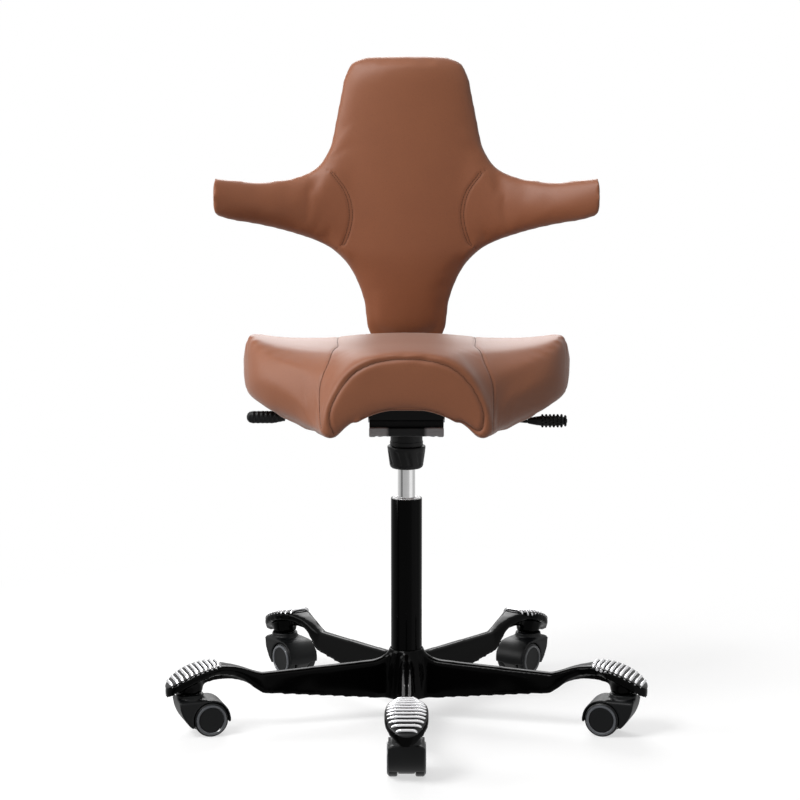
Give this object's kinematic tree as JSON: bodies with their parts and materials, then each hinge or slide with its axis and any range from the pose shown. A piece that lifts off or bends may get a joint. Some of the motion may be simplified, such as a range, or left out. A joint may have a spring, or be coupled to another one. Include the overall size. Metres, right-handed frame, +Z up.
{
  "type": "saddle stool",
  "caption": "Saddle stool with a padded saddle seat and a cross-shaped padded back on a gas lift, over a star base with ribbed foot grips and twin-wheel casters.",
  "frame": {"origin": "on the floor, on the axis of the column", "axes": "+Z up along the column, -Y towards the front of the seat, +X to the right of someone who looks at the front"},
  "size_m": [0.7616, 0.7262, 1.067],
  "materials": {
    "upholstery": "matte",
    "gloss_black": "gloss",
    "chrome": "polished",
    "steel": "satin",
    "black_steel": "satin",
    "cast_black": "satin",
    "grey_metal": "satin",
    "bright_alloy": "satin",
    "black_plastic": "matte",
    "caster_plastic": "satin",
    "wheel_plastic": "satin",
    "pale_plastic": "satin",
    "rubber": "matte"
  },
  "bodies": {
    "base": {"base_star": "gloss_black", "column_tube": "gloss_black", "guide_bush": "pale_plastic", "foot_grip_1": "bright_alloy", "foot_grip_2": "bright_alloy", "foot_grip_3": "bright_alloy", "foot_grip_4": "bright_alloy", "foot_grip_5": "bright_alloy"},
    "caster_1": {"caster_1_hood": "caster_plastic", "caster_1_stem": "steel", "caster_1_axle": "steel"},
    "wheel_1_left": {"caster_1_wheel_left": "wheel_plastic"},
    "wheel_1_right": {"caster_1_wheel_right": "wheel_plastic"},
    "caster_2": {"caster_2_hood": "caster_plastic", "caster_2_stem": "steel", "caster_2_axle": "steel"},
    "wheel_2_left": {"caster_2_wheel_left": "wheel_plastic"},
    "wheel_2_right": {"caster_2_wheel_right": "wheel_plastic"},
    "caster_3": {"caster_3_hood": "caster_plastic", "caster_3_stem": "steel", "caster_3_axle": "steel"},
    "wheel_3_left": {"caster_3_wheel_left": "wheel_plastic"},
    "wheel_3_right": {"caster_3_wheel_right": "wheel_plastic"},
    "caster_4": {"caster_4_hood": "caster_plastic", "caster_4_stem": "steel", "caster_4_axle": "steel"},
    "wheel_4_left": {"caster_4_wheel_left": "wheel_plastic"},
    "wheel_4_right": {"caster_4_wheel_right": "wheel_plastic"},
    "caster_5": {"caster_5_hood": "caster_plastic", "caster_5_stem": "steel", "caster_5_axle": "steel"},
    "wheel_5_left": {"caster_5_wheel_left": "wheel_plastic"},
    "wheel_5_right": {"caster_5_wheel_right": "wheel_plastic"},
    "spindle": {"piston_rod": "chrome", "rod_clip": "steel", "thrust_bearing": "steel", "piston": "steel"},
    "lift": {"gas_cylinder": "chrome", "knob_neck": "black_plastic", "housing_tray": "grey_metal", "mech_housing": "cast_black", "tilt_shaft": "steel", "tilt_rubber": "rubber", "lever_pins": "steel"},
    "knob": {"tension_knob": "black_plastic"},
    "valve": {"valve_pin": "steel"},
    "tilt": {"seat_carrier": "black_steel", "seat_pan": "black_plastic", "pan_screws": "steel", "seat_cushion": "upholstery"},
    "height_lever": {"right_lever": "black_steel", "right_lever_grip": "black_plastic"},
    "lock_lever": {"left_lever": "black_steel", "left_lever_grip": "black_plastic"},
    "back_arm": {"back_bar": "black_steel"},
    "back": {"back_bracket": "black_plastic", "back_cushion": "upholstery", "back_screws": "steel"}
  },
  "joints": [
    {"name": "caster_1_swivel", "type": "hinge", "parent": "base", "child": "caster_1", "pos_m": [0, -0.36, 0.07], "axis": [0, 0, 1], "continuous": true},
    {"name": "wheel_1_left_spin", "type": "hinge", "parent": "caster_1", "child": "wheel_1_left", "pos_m": [0, -0.331, 0.0273], "axis": [1, 0, 0], "continuous": true},
    {"name": "wheel_1_right_spin", "type": "hinge", "parent": "caster_1", "child": "wheel_1_right", "pos_m": [0, -0.331, 0.0273], "axis": [1, 0, 0], "continuous": true},
    {"name": "caster_2_swivel", "type": "hinge", "parent": "base", "child": "caster_2", "pos_m": [0.34238, -0.11125, 0.07], "axis": [0, 0, 1], "continuous": true},
    {"name": "wheel_2_left_spin", "type": "hinge", "parent": "caster_2", "child": "wheel_2_left", "pos_m": [0.3148, -0.10229, 0.0273], "axis": [0.309, 0.9511, 0], "continuous": true},
    {"name": "wheel_2_right_spin", "type": "hinge", "parent": "caster_2", "child": "wheel_2_right", "pos_m": [0.3148, -0.10229, 0.0273], "axis": [0.309, 0.9511, 0], "continuous": true},
    {"name": "caster_3_swivel", "type": "hinge", "parent": "base", "child": "caster_3", "pos_m": [0.2116, 0.29125, 0.07], "axis": [0, 0, 1], "continuous": true},
    {"name": "wheel_3_left_spin", "type": "hinge", "parent": "caster_3", "child": "wheel_3_left", "pos_m": [0.19456, 0.26778, 0.0273], "axis": [-0.809, 0.5878, 0], "continuous": true},
    {"name": "wheel_3_right_spin", "type": "hinge", "parent": "caster_3", "child": "wheel_3_right", "pos_m": [0.19456, 0.26778, 0.0273], "axis": [-0.809, 0.5878, 0], "continuous": true},
    {"name": "caster_4_swivel", "type": "hinge", "parent": "base", "child": "caster_4", "pos_m": [-0.2116, 0.29125, 0.07], "axis": [0, 0, 1], "continuous": true},
    {"name": "wheel_4_left_spin", "type": "hinge", "parent": "caster_4", "child": "wheel_4_left", "pos_m": [-0.19456, 0.26778, 0.0273], "axis": [-0.809, -0.5878, 0], "continuous": true},
    {"name": "wheel_4_right_spin", "type": "hinge", "parent": "caster_4", "child": "wheel_4_right", "pos_m": [-0.19456, 0.26778, 0.0273], "axis": [-0.809, -0.5878, 0], "continuous": true},
    {"name": "caster_5_swivel", "type": "hinge", "parent": "base", "child": "caster_5", "pos_m": [-0.34238, -0.11125, 0.07], "axis": [0, 0, 1], "continuous": true},
    {"name": "wheel_5_left_spin", "type": "hinge", "parent": "caster_5", "child": "wheel_5_left", "pos_m": [-0.3148, -0.10229, 0.0273], "axis": [0.309, -0.9511, 0], "continuous": true},
    {"name": "wheel_5_right_spin", "type": "hinge", "parent": "caster_5", "child": "wheel_5_right", "pos_m": [-0.3148, -0.10229, 0.0273], "axis": [0.309, -0.9511, 0], "continuous": true},
    {"name": "seat_swivel", "type": "hinge", "parent": "base", "child": "spindle", "pos_m": [0, 0, 0.045], "axis": [0, 0, 1], "continuous": true},
    {"name": "seat_height", "type": "slide", "parent": "spindle", "child": "lift", "axis": [0, 0, 1], "range_m": [-0.045, 0.2]},
    {"name": "tension_knob_turn", "type": "hinge", "parent": "lift", "child": "knob", "pos_m": [0, 0, 0.425], "axis": [0, 0, 1], "range_deg": [-720, 720]},
    {"name": "valve_press", "type": "slide", "parent": "lift", "child": "valve", "axis": [0, 0, -1], "range_m": [0, 0.002], "stiffness_N_per_m": 1500, "springref_m": -0.002},
    {"name": "seat_tilt", "type": "hinge", "parent": "lift", "child": "tilt", "pos_m": [0, -0.045, 0.494], "axis": [-1, 0, 0], "range_deg": [0, 6], "stiffness_Nm_per_rad": 170, "springref_deg": -6.88},
    {"name": "height_lever_pull", "type": "hinge", "parent": "lift", "child": "height_lever", "pos_m": [0.046, 0, 0.494], "axis": [0, -1, 0], "range_deg": [0, 2], "stiffness_Nm_per_rad": 6, "springref_deg": -3.44},
    {"name": "lock_lever_push", "type": "hinge", "parent": "lift", "child": "lock_lever", "pos_m": [-0.046, 0, 0.494], "axis": [0, 1, 0], "range_deg": [-8, 0]},
    {"name": "back_depth", "type": "slide", "parent": "tilt", "child": "back_arm", "axis": [0, 1, 0], "range_m": [0, 0.05]},
    {"name": "back_height", "type": "slide", "parent": "back_arm", "child": "back", "axis": [0, 0, 1], "range_m": [-0.015, 0.085]}
  ],
  "couplings": [
    {"joint": "valve_press", "follows": "height_lever_pull", "m_per_rad": 0.046}
  ]
}
